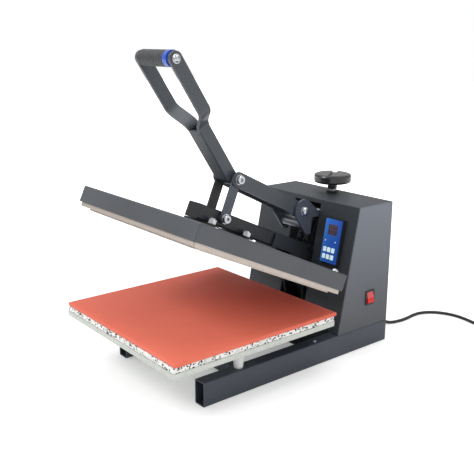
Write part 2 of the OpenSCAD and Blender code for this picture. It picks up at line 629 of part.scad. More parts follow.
// The bezel's well, as the rocker meets it once it has turned by a
module well_at(a) translate([0, -rocker_axis_in]) rotate(-a) translate([-12.2, -20]) square([24.4, 40]);
module switch_rocker() color("#d31f1a") on_side() {
    // a shallow vee that stands proud at its lower end, with its ends cut back to turn in the well
    translate([-9.2, 0, 0]) rotate([90, 0, 90]) linear_extrude(18.4) intersection() {
        polygon([[-12.2, -7], [12.2, -7], [12.2, 1.2], [0, 3.4], [-11.6, 6.6], [-12.2, 6]]);
        well_at(rocker_swing);
    }
    translate([-9.6, 0, -rocker_axis_in]) rotate([0, 90, 0]) cylinder(r = 1.5, h = 19.2);
}

// ---------- mains lead ----------
gland_at = [80, house_rear + 1.5, 62];
gland_l = 24;
module cord_gland() color("#141414") placed() translate(gland_at) rotate([-90, 0, 0]) difference() {
    union() {
        cylinder(r = 10, h = 3);
        translate([0, 0, -5]) cylinder(r = 6.3, h = 6);
        translate([0, 0, 3]) rotate_extrude() polygon([[0, 0], [7.4, 0], [6.2, 5], [4.6, gland_l - 3], [0, gland_l - 3]]);
    }
    translate([0, 0, -6]) cylinder(r = cord_d / 2, h = gland_l + 8);
}
// Route of the lead from the gland to the coil, then from the coil to the plug, on the floor
route = [
    [80, 398, 62], [80, 418, 62], [80, 430, 60.5], [80, 440, 54], [80.5, 448, 42], [82, 454, 28],
    [86, 462, 14], [92, 473, 5.5], [99, 487, 3.6], [103, 504, 3.6], [104.5, 523, 3.6], [103, 542, 3.6],
    [101, 561, 3.6], [102, 581, 3.6], [109, 600, 3.6], [123, 617, 3.6], [142, 629, 3.6], [165, 636, 3.6],
    [190, 636, 3.6], [215, 632, 3.6], [240, 628, 3.6], [262, 627, 3.6]
];
coil_at = [262, 669];
coil_mid = 38.5;
coil_h = 21.6;
tail = [[286, 630, 25], [300, 622, 20], [309, 609, 13], [312, 594, 10.5], [312, 582, 10.5]];
plug_at = [312, 582, 10.5];

// A tube swept along points, with rings square to the path
function unit(v) = v / norm(v);
function heading(pts, i) = unit(pts[min(i + 1, len(pts) - 1)] - pts[max(i - 1, 0)]);
function side_of(t) = abs(t[2]) > 0.9 ? unit(cross(t, [1, 0, 0])) : unit(cross(t, [0, 0, 1]));
function catmull(a, b, c, d, t) = 0.5 * (2 * b + (c - a) * t + (2 * a - 5 * b + 4 * c - d) * t * t
    + (3 * b - a - 3 * c + d) * t * t * t);
function smooth(pts, n) = concat([for (i = [0:len(pts) - 2], k = [0:n - 1])
    catmull(pts[max(i - 1, 0)], pts[i], pts[i + 1], pts[min(i + 2, len(pts) - 1)], k / n)], [pts[len(pts) - 1]]);
module tube(pts, r, sides) {
    rings = [for (i = [0:len(pts) - 1]) let (t = heading(pts, i), u = side_of(t), v = cross(t, u))
        for (k = [0:sides - 1]) pts[i] + r * (u * cos(360 * k / sides) + v * sin(360 * k / sides))];
    walls = [for (i = [0:len(pts) - 2], k = [0:sides - 1]) let (j = (k + 1) % sides)
        [i * sides + k, i * sides + j, (i + 1) * sides + j, (i + 1) * sides + k]];
    ends = [[for (k = [sides - 1:-1:0]) k], [for (k = [0:sides - 1]) (len(pts) - 1) * sides + k]];
    polyhedron(points = rings, faces = concat(walls, ends), convexity = 10);
}
module power_cord() color("#151515") placed() {
    tube(smooth(route, 2), cord_d / 2, 10);
    tube(smooth(tail, 2), cord_d / 2, 10);
}
module cord_coil() color("#151515") placed() translate([coil_at[0], coil_at[1], 0]) rotate_extrude()
    polygon([[coil_mid - cord_d, 0], [coil_mid + cord_d, 0], [coil_mid + cord_d, coil_h], [coil_mid - cord_d, coil_h]]);
// Flat two-blade plug with a tapered neck
module plug() color("#151515") placed() translate(plug_at) rotate([90, 0, 0]) {
    rotate_extrude() polygon([[0, 0], [4.6, 0], [6.2, 14], [9.4, 19], [10, 22], [10, 40], [9, 42], [0, 42]]);
    for (x = [-6.35, 6.35]) translate([x - 0.8, -3.1, 41]) cube([1.6, 6.2, 18]);
}

base_rail_left();
base_rail_right();
base_crossbars();
base_plate();
platen_standoffs();
base_screws();
lower_platen_plate();
foam_board();
silicone_pad();
heating_plate();
insulation_blanket();
platen_cover();
platen_studs();
platen_nuts();
channel_arm();
arm_cross_plates();
hinge_plates();
hinge_brackets();
hinge_shaft();
tower_frame();
rocker_plates();
rocker_spacer();
rocker_pin();
trunnion_block();
pressure_screw();
pressure_knob();
screw_bush();
lever_arm();
handle_bar();
fork_left();
fork_right();
grip_bolt();
grip_foam();
grip_band();
lever_pivot_bolt();
link_left();
link_right();
link_upper_bolt();
link_lower_bolts();
lift_springs();
spring_pin();
housing_shell();
rear_cover();
rear_screws();
control_box();
control_overlay();
control_board();
display_window();
button_1();
button_2();
button_3();
button_4();
button_5();
button_6();
switch_bezel();
switch_rocker();
cord_gland();
power_cord();
cord_coil();
plug();
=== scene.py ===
"""Heat press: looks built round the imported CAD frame. Metres, +X operator's right, +Y back, +Z up."""
import json
import math
import random

import bmesh
import bpy
from mathutils import Matrix, Vector


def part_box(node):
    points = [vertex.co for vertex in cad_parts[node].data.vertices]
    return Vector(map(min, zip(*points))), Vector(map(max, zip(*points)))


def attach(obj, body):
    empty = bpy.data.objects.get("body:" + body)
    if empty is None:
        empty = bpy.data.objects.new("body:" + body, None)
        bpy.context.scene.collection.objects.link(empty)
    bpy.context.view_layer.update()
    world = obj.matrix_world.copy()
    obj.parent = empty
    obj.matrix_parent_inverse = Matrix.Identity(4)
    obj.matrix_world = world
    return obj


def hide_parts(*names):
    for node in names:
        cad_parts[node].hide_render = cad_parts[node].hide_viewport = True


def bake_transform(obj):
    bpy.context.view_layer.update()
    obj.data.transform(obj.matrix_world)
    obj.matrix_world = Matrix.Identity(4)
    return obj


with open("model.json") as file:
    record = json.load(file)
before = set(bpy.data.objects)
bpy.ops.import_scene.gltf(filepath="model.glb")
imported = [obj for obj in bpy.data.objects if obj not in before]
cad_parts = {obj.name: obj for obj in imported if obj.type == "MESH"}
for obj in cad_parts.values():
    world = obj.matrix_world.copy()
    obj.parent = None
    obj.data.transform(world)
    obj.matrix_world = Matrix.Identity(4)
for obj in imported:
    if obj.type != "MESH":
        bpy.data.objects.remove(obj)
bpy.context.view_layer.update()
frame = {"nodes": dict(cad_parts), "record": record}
nodes = frame["nodes"]
scene = bpy.context.scene
MM = 0.001

# ---------------------------------------------------------------- camera
board_low, board_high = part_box("lower_platen_plate")
board_centre = (board_low + board_high) / 2
CAMERA_FROM_BOARD = Vector((1.1112, -0.8044, 0.6438))  # the height is measured from the floor
CAMERA_TURN = 50.93  # degrees round from the front, towards the operator's right
CAMERA_DOWN = 15.21  # degrees below level
CAMERA_ROLL = 0.12   # degrees
FOCAL_PIXELS = 731.6
FRAME_PIXELS = 474
SENSOR = 36.0        # millimetres
CLIP_NEAR = 0.05
CLIP_FAR = 50


def make_camera():
    """The camera, in front of the board and to its right, with a trace of roll."""
    data = bpy.data.cameras.new("camera")
    data.sensor_width = SENSOR
    data.lens = FOCAL_PIXELS / FRAME_PIXELS * SENSOR
    data.clip_start = CLIP_NEAR
    data.clip_end = CLIP_FAR
    camera = bpy.data.objects.new("camera", data)
    scene.collection.objects.link(camera)
    turn, down = math.radians(CAMERA_TURN), math.radians(CAMERA_DOWN)
    back = Vector((math.sin(turn) * math.cos(down), -math.cos(turn) * math.cos(down), math.sin(down)))
    level = (-back).to_track_quat("-Z", "Y")
    camera.rotation_mode = "QUATERNION"
    camera.rotation_quaternion = level @ Matrix.Rotation(math.radians(CAMERA_ROLL), 4, "Z").to_quaternion()
    camera.location = (board_centre.x + CAMERA_FROM_BOARD.x, board_centre.y + CAMERA_FROM_BOARD.y,
                       CAMERA_FROM_BOARD.z)
    scene.camera = camera


make_camera()


# ---------------------------------------------------------------- material helpers
COAT_ROUGHNESS = 0.12
BLACK = (0, 0, 0, 1)
WHITE = (1, 1, 1, 1)


def srgb(r, g, b):
    """A colour given as 0-255 display values, as the linear colour that shaders take."""
    def linear(v):
        v = v / 255
        return v / 12.92 if v <= 0.04045 else ((v + 0.055) / 1.055) ** 2.4
    return (linear(r), linear(g), linear(b), 1.0)


class Look:
    """A material under construction, with its textures in the object's own coordinates."""

    def __init__(self, name, rough=0.5, metal=0.0, coat=0.0, sheen=0.0):
        self.material = bpy.data.materials.new(name)
        self.material.use_nodes = True
        self.tree = self.material.node_tree
        self.shader = self.tree.nodes["Principled BSDF"]
        self.shader.inputs["Roughness"].default_value = rough
        self.shader.inputs["Metallic"].default_value = metal
        self.shader.inputs["Coat Weight"].default_value = coat
        self.shader.inputs["Coat Roughness"].default_value = COAT_ROUGHNESS
        self.shader.inputs["Sheen Weight"].default_value = sheen
        self.coord = self.tree.nodes.new("ShaderNodeTexCoord")
        self.normal = None

    def link(self, a, b):
        self.tree.links.new(a, b)

    def place(self, stretch=(1, 1, 1)):
        mapping = self.tree.nodes.new("ShaderNodeMapping")
        mapping.inputs["Scale"].default_value = stretch
        self.link(self.coord.outputs["Object"], mapping.inputs["Vector"])
        return mapping.outputs["Vector"]

    def noise(self, scale, detail=3.0, stretch=(1, 1, 1), distortion=0.0):
        node = self.tree.nodes.new("ShaderNodeTexNoise")
        node.inputs["Scale"].default_value = scale
        node.inputs["Detail"].default_value = detail
        node.inputs["Distortion"].default_value = distortion
        self.link(self.place(stretch), node.inputs["Vector"])
        return node.outputs["Fac"]

    def cells(self, scale, stretch=(1, 1, 1)):
        node = self.tree.nodes.new("ShaderNodeTexVoronoi")
        node.inputs["Scale"].default_value = scale
        self.link(self.place(stretch), node.inputs["Vector"])
        return node.outputs["Distance"]

    def ramp(self, value, stops):
        node = self.tree.nodes.new("ShaderNodeValToRGB")
        while len(node.color_ramp.elements) < len(stops):
            node.color_ramp.elements.new(0.5)
        for element, (place, colour) in zip(node.color_ramp.elements, stops):
            element.position = place
            element.color = colour
        self.link(value, node.inputs["Fac"])
        return node.outputs["Color"]

    def mottle(self, scale, detail, dark, light, span=(0.3, 0.7), stretch=(1, 1, 1)):
        """A cloudy blend of two colours, which meet over a span of the noise's values."""
        return self.ramp(self.noise(scale, detail, stretch), [(span[0], dark), (span[1], light)])

    def mix(self, factor, a, b):
        """Two colours blended: sockets 6 and 7 are the node's colour inputs, and 2 its colour output."""
        node = self.tree.nodes.new("ShaderNodeMix")
        node.data_type = "RGBA"
        self.link(factor, node.inputs["Factor"])
        self.link(a, node.inputs[6])
        self.link(b, node.inputs[7])
        return node.outputs[2]

    def axis(self, kind, letter):
        """One component of the object's own coordinates or normals."""
        split = self.tree.nodes.new("ShaderNodeSeparateXYZ")
        self.link(self.coord.outputs[kind], split.inputs["Vector"])
        return split.outputs[letter]

    def between(self, value, low, high):
        """A value mapped so that low gives 0 and high gives 1."""
        node = self.tree.nodes.new("ShaderNodeMapRange")
        node.inputs["From Min"].default_value = low
        node.inputs["From Max"].default_value = high
        self.link(value, node.inputs["Value"])
        return node.outputs["Result"]

    def glow(self, output, strength):
        """Light of the surface's own, coloured by a texture."""
        self.link(output, self.shader.inputs["Emission Color"])
        self.shader.inputs["Emission Strength"].default_value = strength

    def waxy(self, weight, radius):
        self.shader.inputs["Subsurface Weight"].default_value = weight
        self.shader.inputs["Subsurface Radius"].default_value = radius

    def orange_peel(self):
        """The fine ripple of sprayed and baked paint."""
        self.bump(self.noise(900.0, 2.0), 0.25, 0.0004)

    def colour(self, output):
        self.link(output, self.shader.inputs["Base Color"])

    def roughness(self, value, low, high):
        """Roughness that wanders between low and high with a texture."""
        node = self.tree.nodes.new("ShaderNodeMapRange")
        node.inputs["To Min"].default_value = low
        node.inputs["To Max"].default_value = high
        self.link(value, node.inputs["Value"])
        self.link(node.outputs["Result"], self.shader.inputs["Roughness"])

    def bump(self, height, strength, depth):
        node = self.tree.nodes.new("ShaderNodeBump")
        node.inputs["Strength"].default_value = strength
        node.inputs["Distance"].default_value = depth
        self.link(height, node.inputs["Height"])
        if self.normal is not None:
            self.link(self.normal, node.inputs["Normal"])
        self.normal = node.outputs["Normal"]
        self.link(self.normal, self.shader.inputs["Normal"])


def shade(colour, factor):
    """A colour made darker or lighter by a factor."""
    return tuple(c * factor for c in colour[:3]) + (1.0,)


def powder_coat(name, colour, rough=0.42, spread=0.12, coat=0.0):
    """Baked paint: fine orange peel, with a slow drift of tone and gloss."""
    look = Look(name, rough, coat=coat)
    look.colour(look.mottle(7.0, 4.0, shade(colour, 1 - spread), shade(colour, 1 + spread)))
    look.roughness(look.noise(30.0, 3.0), rough - 0.06, rough + 0.08)
    look.orange_peel()
    return look


# painted light: between these heights the housing's sides are painted lighter towards their top
SIDE_PAINTED_LIGHT = (0.05, 0.31)  # heights between which the housing's sides grow lighter


def housing_coat_and_painted_light():
    """The housing's paint, with painted light: its broad outer sides are painted a lighter grey than its
    front, and lightest at their top, where the light falls.
    """
    look = Look("housing_coat_and_painted_light", 0.46)
    # painted light: a lighter grey painted on the sides, growing lighter towards their top
    painted_light_rise = look.between(look.axis("Object", "Z"), *SIDE_PAINTED_LIGHT)
    side = look.ramp(painted_light_rise, [(0.0, srgb(70, 73, 77)), (1.0, srgb(110, 115, 125))])
    face = look.mottle(7.0, 4.0, srgb(45, 50, 55), srgb(53, 58, 63))
    # painted light: faces turned to the sides take the lighter painted grey, and the front and back keep the
    # darker paint
    weight = look.tree.nodes.new("ShaderNodeMath")
    weight.operation = "ABSOLUTE"
    look.link(look.axis("Normal", "X"), weight.inputs[0])
    look.colour(look.mix(weight.outputs[0], face, side))
    look.roughness(look.noise(30.0, 3.0), 0.40, 0.54)
    look.orange_peel()
    return look


def bright_metal(name, colour, rough=0.28, grain=(1, 1, 1), spread=0.1):
    """Plated or rolled metal with a fine directional grain and dull patches."""
    look = Look(name, rough, metal=1.0)
    dull, bright = shade(colour, 1 - spread), shade(colour, 1 + spread * 0.5)
    look.colour(look.mottle(60.0, 5.0, dull, bright, (0.25, 0.75)))
    streak = look.noise(260.0, 3.0, grain)
    look.roughness(streak, rough - 0.08, rough + 0.14)
    look.bump(streak, 0.12, 0.0003)
    return look


def moulded(name, colour, rough=0.45, coat=0.0):
    """Moulded plastic: spark-eroded grain and a faint mottle."""
    look = Look(name, rough, coat=coat)
    look.colour(look.mottle(25.0, 3.0, shade(colour, 0.88), shade(colour, 1.12)))
    look.roughness(look.noise(120.0, 2.0), rough - 0.05, rough + 0.07)
    look.bump(look.noise(1600.0, 2.0), 0.2, 0.0002)
    return look


def speckled_foam():
    """White bonded foam with black flecks, some of them drawn out into wavy streaks."""
    look = Look("speckled_foam", 0.85, sheen=0.1)
    ground = look.mottle(90.0, 5.0, srgb(212, 212, 207), srgb(240, 240, 236), (0.3, 0.6))
    flecks = look.ramp(look.cells(190.0, (1, 1, 1.4)),
                       [(0.33, srgb(14, 14, 16)), (0.42, srgb(236, 236, 233))])
    streaks = look.ramp(look.noise(75.0, 5.0, (1, 1, 3.2), 1.8),
                        [(0.45, srgb(24, 24, 26)), (0.49, srgb(240, 240, 237))])
    mask = look.mottle(45.0, 3.0, BLACK, WHITE, (0.36, 0.42))
    choice = look.mottle(24.0, 2.0, BLACK, WHITE, (0.46, 0.54))
    look.colour(look.mix(mask, ground, look.mix(choice, flecks, streaks)))
    look.bump(look.cells(420.0), 0.5, 0.0009)
    look.bump(look.noise(150.0, 5.0), 0.6, 0.0015)
    return look


def silicone():
    """Matt silicone sheet, with a slow drift of colour and a fine calendered skin."""
    look = Look("silicone", 0.62, sheen=0.06)
    look.colour(look.mottle(3.2, 5.0, srgb(212, 92, 68), srgb(230, 114, 90), (0.25, 0.75)))
    look.roughness(look.noise(40.0, 4.0), 0.55, 0.72)
    look.bump(look.noise(1300.0, 2.0), 0.2, 0.0003)
    look.bump(look.noise(22.0, 3.0), 0.12, 0.001)
    return look


def cell_foam():
    """Closed-cell grip foam: dark, with open pores."""
    look = Look("cell_foam", 0.62, sheen=0.15)
    look.colour(look.mottle(140.0, 4.0, srgb(24, 26, 29), srgb(47, 50, 55)))
    look.bump(look.cells(900.0), 0.5, 0.0005)
    look.bump(look.noise(300.0, 4.0), 0.35, 0.0006)
    return look


def woven_glass():
    look = Look("woven_glass", 0.8, sheen=0.2)
    look.colour(look.mottle(80.0, 3.0, srgb(214, 203, 166), srgb(238, 229, 200)))
    look.bump(look.cells(500.0), 0.6, 0.0008)
    return look


def printed_panel():
    """Blue printed film: brighter towards its left side, with a satin grain."""
    look = Look("printed_panel", 0.34, coat=0.3)
    low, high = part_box("control_overlay")
    across = look.between(look.axis("Object", "X"), low.x, high.x)
    light = look.ramp(across, [(0.0, srgb(72, 146, 238)), (0.25, srgb(56, 120, 224)),
                               (1.0, srgb(40, 92, 196))])
    deep = look.ramp(across, [(0.0, srgb(64, 134, 232)), (0.4, srgb(48, 108, 214)),
                              (1.0, srgb(36, 84, 184))])
    look.colour(look.mix(look.noise(50.0, 3.0), light, deep))
    look.bump(look.noise(1500.0, 2.0), 0.15, 0.0002)
    return look


def display_glass():
    """Smoked window over rows of unlit display blocks."""
    look = Look("display_glass", 0.18, coat=0.6)
    blocks = look.tree.nodes.new("ShaderNodeTexBrick")
    blocks.inputs["Scale"].default_value = 1.0
    blocks.inputs["Brick Width"].default_value = 0.0052
    blocks.inputs["Row Height"].default_value = 0.0088
    blocks.inputs["Mortar Size"].default_value = 0.0009
    blocks.inputs["Color1"].default_value = srgb(92, 74, 84)
    blocks.inputs["Color2"].default_value = srgb(122, 84, 86)
    blocks.inputs["Mortar"].default_value = srgb(52, 58, 82)
    turn = look.tree.nodes.new("ShaderNodeMapping")
    turn.inputs["Rotation"].default_value = (math.radians(90), 0, 0)
    look.link(look.coord.outputs["Object"], turn.inputs["Vector"])
    look.link(turn.outputs["Vector"], blocks.inputs["Vector"])
    look.colour(blocks.outputs["Color"])
    look.roughness(look.noise(60.0, 2.0), 0.12, 0.26)
    return look


def key_with_painted_glow():
    """Translucent key cap: mottled pale blue, with a painted glow that brightens it in place of light
    falling on it.
    """
    look = Look("key_with_painted_glow", 0.4)
    tone = look.mottle(160.0, 2.0, srgb(196, 236, 246), srgb(242, 253, 255))
    look.colour(tone)
    # painted light: a glow on the unlit key cap, brightening it the way light on it would
    look.glow(tone, 0.35)
    look.bump(look.noise(900.0, 2.0), 0.1, 0.0002)
    return look


def red_rocker():
    look = Look("red_rocker", 0.2, coat=0.7)
    look.colour(look.mottle(60.0, 2.0, srgb(196, 14, 12), srgb(226, 26, 20)))
    look.roughness(look.noise(90.0, 2.0), 0.15, 0.27)
    look.waxy(0.1, (0.004, 0.001, 0.001))
    return look


def frosted_standoff():
    look = Look("frosted_standoff", 0.4)
    look.colour(look.mottle(45.0, 4.0, srgb(196, 196, 198), srgb(228, 228, 230), stretch=(1, 1, 0.3)))
    look.waxy(0.25, (0.006, 0.006, 0.006))
    look.bump(look.noise(700.0, 2.0), 0.2, 0.0003)
    return look


def circuit_board():
    look = Look("circuit_board", 0.4, coat=0.2)
    look.colour(look.ramp(look.cells(260.0), [(0.12, srgb(170, 150, 80)), (0.2, srgb(28, 84, 46))]))
    look.bump(look.cells(260.0), 0.3, 0.0004)
    return look


def cord_jacket():
    look = Look("cord_jacket", 0.42)
    look.colour(look.mottle(35.0, 3.0, srgb(20, 20, 22), srgb(32, 32, 35)))
    look.roughness(look.noise(70.0, 3.0), 0.36, 0.52)
    look.bump(look.noise(800.0, 2.0), 0.2, 0.0003)
    return look


CHARCOAL = powder_coat("platen_coat", srgb(72, 75, 80), 0.40)
HOUSING = housing_coat_and_painted_light()
RAIL = powder_coat("rail_coat", srgb(54, 60, 70), 0.38)
DARK = powder_coat("dark_coat", srgb(38, 42, 47), 0.40)
BLACK_COAT = powder_coat("black_coat", srgb(26, 28, 31), 0.36)
LEVER = powder_coat("lever_coat", srgb(70, 75, 81), 0.34)
SLATE = powder_coat("slate_coat", srgb(74, 80, 92), 0.34)
ZINC = bright_metal("zinc", srgb(214, 216, 220), 0.26)
NICKEL = bright_metal("nickel", srgb(196, 198, 202), 0.24)
TOWER_ZINC = bright_metal("tower_zinc", srgb(176, 180, 188), 0.4, (1, 1, 0.2))
MILL = bright_metal("mill_aluminium", srgb(196, 200, 194), 0.42, (0.15, 1, 1))
CAST = bright_metal("cast_aluminium", srgb(198, 188, 180), 0.5, (1, 1, 1), 0.06)
SPRING = bright_metal("oiled_steel", srgb(70, 72, 76), 0.35)
BLACK_PLASTIC = moulded("black_plastic", srgb(24, 25, 28), 0.42)
KNOB = moulded("knob_plastic", srgb(20, 21, 24), 0.30, 0.4)
BAND = moulded("band_plastic", srgb(38, 78, 178), 0.28, 0.4)
FOAM = speckled_foam()
SILICONE = silicone()
GRIP = cell_foam()
JACKET = cord_jacket()

LOOKS = {
    "base_rail_left": RAIL, "base_rail_right": RAIL, "base_crossbars": RAIL, "base_plate": BLACK_COAT,
    "platen_standoffs": frosted_standoff(), "base_screws": NICKEL, "lower_platen_plate": MILL,
    "heating_plate": CAST, "insulation_blanket": woven_glass(), "platen_cover": CHARCOAL,
    "platen_studs": ZINC, "platen_nuts": NICKEL, "channel_arm": DARK, "arm_cross_plates": BLACK_COAT,
    "hinge_plates": DARK, "hinge_brackets": BLACK_COAT, "hinge_shaft": ZINC, "tower_frame": TOWER_ZINC,
    "rocker_plates": SLATE, "rocker_spacer": TOWER_ZINC, "rocker_pin": ZINC, "trunnion_block": ZINC,
    "pressure_screw": ZINC, "pressure_knob": KNOB, "screw_bush": BLACK_PLASTIC, "lever_arm": LEVER,
    "handle_bar": LEVER, "fork_left": LEVER, "fork_right": LEVER, "grip_bolt": NICKEL, "grip_band": BAND,
    "lever_pivot_bolt": NICKEL, "link_left": BLACK_COAT, "link_right": SLATE, "link_upper_bolt": NICKEL,
    "link_lower_bolts": NICKEL, "spring_pin": ZINC, "housing_shell": HOUSING, "rear_cover": CHARCOAL,
    "rear_screws": ZINC, "control_box": BLACK_PLASTIC, "control_overlay": printed_panel(),
    "control_board": circuit_board(), "display_window": display_glass(), "switch_bezel": BLACK_PLASTIC,
    "switch_rocker": red_rocker(), "cord_gland": BLACK_PLASTIC, "plug": JACKET,
}
KEYS = tuple(f"button_{k}" for k in range(1, 7))
LOOKS.update(dict.fromkeys(KEYS, key_with_painted_glow()))


def dress_nodes():
    """Every CAD node that isn't replaced by a piece of this script gets its material."""
    for name, look in LOOKS.items():
        piece = nodes[name]
        piece.data.materials.clear()
        piece.data.materials.append(look.material)


dress_nodes()
# How wide the rounding of a node's sharp edges is, and the nodes that have it
EDGES = {
    0.0006: ("base_rail_left", "base_rail_right", "channel_arm", "hinge_plates", "rocker_plates",
             "handle_bar", "lever_arm", "fork_left", "fork_right", "link_left", "link_right",
             "arm_cross_plates", "lower_platen_plate", "control_box"),
    0.0009: ("pressure_knob", "heating_plate"),
    0.0004: ("platen_nuts", "grip_bolt", "lever_pivot_bolt", "link_upper_bolt", "link_lower_bolts",
             "base_screws", "switch_bezel", "switch_rocker", "plug", "rear_cover", "display_window",
             "grip_band") + KEYS,
}
EDGE_SEGMENTS = 2
SHARP_ANGLE = 40     # degrees; flatter edges are left alone


def round_edges():
    """Adds the fine rounding that catches the light, without moving the CAD faces."""
    for width, names in EDGES.items():
        for name in names:
            bevel = nodes[name].modifiers.new("edge", "BEVEL")
            bevel.width = width
            bevel.segments = EDGE_SEGMENTS
            bevel.limit_method = "ANGLE"
            bevel.angle_limit = math.radians(SHARP_ANGLE)
            bevel.use_clamp_overlap = True


round_edges()


# ---------------------------------------------------------------- mesh helpers
def new_piece(name, bm, look, smooth_angle=None):
    """An object made from a bmesh, with its material."""
    mesh = bpy.data.meshes.new(name)
    bmesh.ops.recalc_face_normals(bm, faces=bm.faces)
    bm.to_mesh(mesh)
    bm.free()
    if smooth_angle is not None:
        mesh.shade_smooth()
        mesh.set_sharp_from_angle(angle=math.radians(smooth_angle))
    piece = bpy.data.objects.new(name, mesh)
    scene.collection.objects.link(piece)
    mesh.materials.append(look.material)
    return piece


ON_AXIS = 1e-7       # a radius below this is a point on the axis


def lathe(bm, profile, turns, matrix):
    """A body of revolution about local z, from a profile of (radius, height).

    It is closed if the profile starts and ends on the axis; otherwise the caller joins its end rings.
    """
    rings = []
    for radius, height in profile:
        if radius < ON_AXIS:
            rings.append([bm.verts.new(matrix @ Vector((0, 0, height)))])
        else:
            rings.append([bm.verts.new(matrix @ Vector((radius * math.cos(2 * math.pi * k / turns),
                                                        radius * math.sin(2 * math.pi * k / turns), height)))
                          for k in range(turns)])
    for a, b in zip(rings, rings[1:]):
        for k in range(turns):
            j = (k + 1) % turns
            if len(a) == 1:
                bm.faces.new((a[0], b[j], b[k]))
            elif len(b) == 1:
                bm.faces.new((a[k], a[j], b[0]))
            else:
                bm.faces.new((a[k], a[j], b[j], b[k]))
    return rings


def bridge_ring(bm, a, b):
    """Faces between two rings of as many points."""
    for k in range(len(a)):
        j = (k + 1) % len(a)
        bm.faces.new((a[k], a[j], b[j], b[k]))


def sweep(bm, points, radius, sides):
    """A closed tube along points, its rings carried along without twist."""
    up = Vector((1, 0, 0))
    rings = []
    for i, point in enumerate(points):
        heading = (points[min(i + 1, len(points) - 1)] - points[max(i - 1, 0)]).normalized()
        up = (up - heading * up.dot(heading)).normalized()
        side = heading.cross(up)
        rings.append([bm.verts.new(point + radius * (math.cos(2 * math.pi * k / sides) * up
                                                     + math.sin(2 * math.pi * k / sides) * side))
                      for k in range(sides)])
    for a, b in zip(rings, rings[1:]):
        bridge_ring(bm, a, b)
    bm.faces.new(list(reversed(rings[0])))
    bm.faces.new(rings[-1])


# ---------------------------------------------------------------- mains lead
CORD_DIAMETER = 0.007
ROUTE = [
    (80, 398, 62), (80, 418, 62), (80, 430, 60.5), (80, 440, 54), (80.5, 448, 42), (82, 454, 28),
    (86, 462, 14), (92, 473, 5.5), (99, 487, 3.6), (103, 504, 3.6), (104.5, 523, 3.6), (103, 542, 3.6),
    (101, 561, 3.6), (102, 581, 3.6), (109, 600, 3.6), (123, 617, 3.6), (142, 629, 3.6), (165, 636, 3.6),
    (190, 636, 3.6), (215, 632, 3.6), (240, 628, 3.6), (262, 627, 3.6),
]
HANDOVER = (274, 632.5, 22.5)  # where the lead comes off the coil's last turn
TAIL = [(286, 630, 25), (300, 622, 20), (309, 609, 13), (312, 594, 10.5), (312, 582, 10.5)]
COIL_CENTRE = (262, 669)
COIL_SLOTS = [(42, 3.6), (35, 3.6), (35, 10.8), (42, 10.8), (42, 18.0), (35, 18.0)]  # radius and height
SLOT_ARC = 240       # degrees that the lead runs in one slot of the coil
SHIFT_ARC = 60       # degrees over which it moves to the next slot
COIL_STEP = 15       # degrees between the coil's points
LINE_STEPS = 4       # steps of the smooth line between two points of the route
MOUTH_GAP = 1e-4     # points of the line nearer than this to the gland's mouth are dropped


def from_board(point):
    """A place in metres, from one in millimetres: x and y from the board's middle, z from the floor."""
    x, y, z = point
    return Vector((x * MM, y * MM + board_centre.y, z * MM))


def coil_points():
    """The coil's turns, slot by slot; it starts at the coil's front and ends there."""
    points = []
    angle = -90
    for k, (radius, height) in enumerate(COIL_SLOTS):
        last = k == len(COIL_SLOTS) - 1
        run = SLOT_ARC + (SHIFT_ARC if k == 0 else 0)
        steps = run // COIL_STEP
        for i in range(steps):
            points.append((radius, height, angle + i * COIL_STEP))
        angle += run
        if last:
            points.append((radius, height, angle))
            break
        next_radius, next_height = COIL_SLOTS[k + 1]
        shift_steps = SHIFT_ARC // COIL_STEP
        for i in range(shift_steps):
            t = i / shift_steps
            t = t * t * (3 - 2 * t)
            points.append((radius + (next_radius - radius) * t, height + (next_height - height) * t,
                           angle + i * COIL_STEP))
        angle += SHIFT_ARC
    centre_x, centre_y = COIL_CENTRE
    return [(centre_x + r * math.cos(math.radians(a)), centre_y + r * math.sin(math.radians(a)), h)
            for r, h, a in points]


def catmull(points, count):
    """A smooth line through points, with count steps from each to the next."""
    line = []
    for i in range(len(points) - 1):
        a, b = points[max(i - 1, 0)], points[i]
        c, d = points[i + 1], points[min(i + 2, len(points) - 1)]
        for k in range(count):
            t = k / count
            line.append(0.5 * (2 * b + (c - a) * t + (2 * a - 5 * b + 4 * c - d) * t * t
                               + (3 * b - a - 3 * c + d) * t * t * t))
    line.append(points[-1])
    return line


def make_cord():
    """The lead from the gland's mouth, over the floor, round the coil and on to the plug."""
    gland_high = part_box("cord_gland")[1]
    points = [from_board(p) for p in ROUTE[:-1] + coil_points() + [HANDOVER] + TAIL]
    line = catmull(points, LINE_STEPS)
    mouth = Vector((line[0].x, gland_high.y, line[0].z))
    line = [mouth] + [p for p in line if p.y > mouth.y + MOUTH_GAP]
    data = bpy.data.curves.new("mains_lead", "CURVE")
    data.dimensions = "3D"
    spline = data.splines.new("POLY")
    spline.points.add(len(line) - 1)
    for slot, point in zip(spline.points, line):
        slot.co = (*point, 1)
    data.bevel_depth = CORD_DIAMETER / 2
    data.bevel_resolution = 5
    data.use_fill_caps = True
    lead = bpy.data.objects.new("mains_lead", data)
    scene.collection.objects.link(lead)
    data.materials.append(JACKET.material)
    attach(lead, "frame")
    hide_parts("power_cord", "cord_coil")


make_cord()


# ---------------------------------------------------------------- pad and board
WAVES = 7            # pairs of waves whose sum makes a cut rim wander
WAVE_RATES = (6, 70)
WAVE_PHASE = 6.28
ROUND_STEPS = 4      # steps in each rounded edge


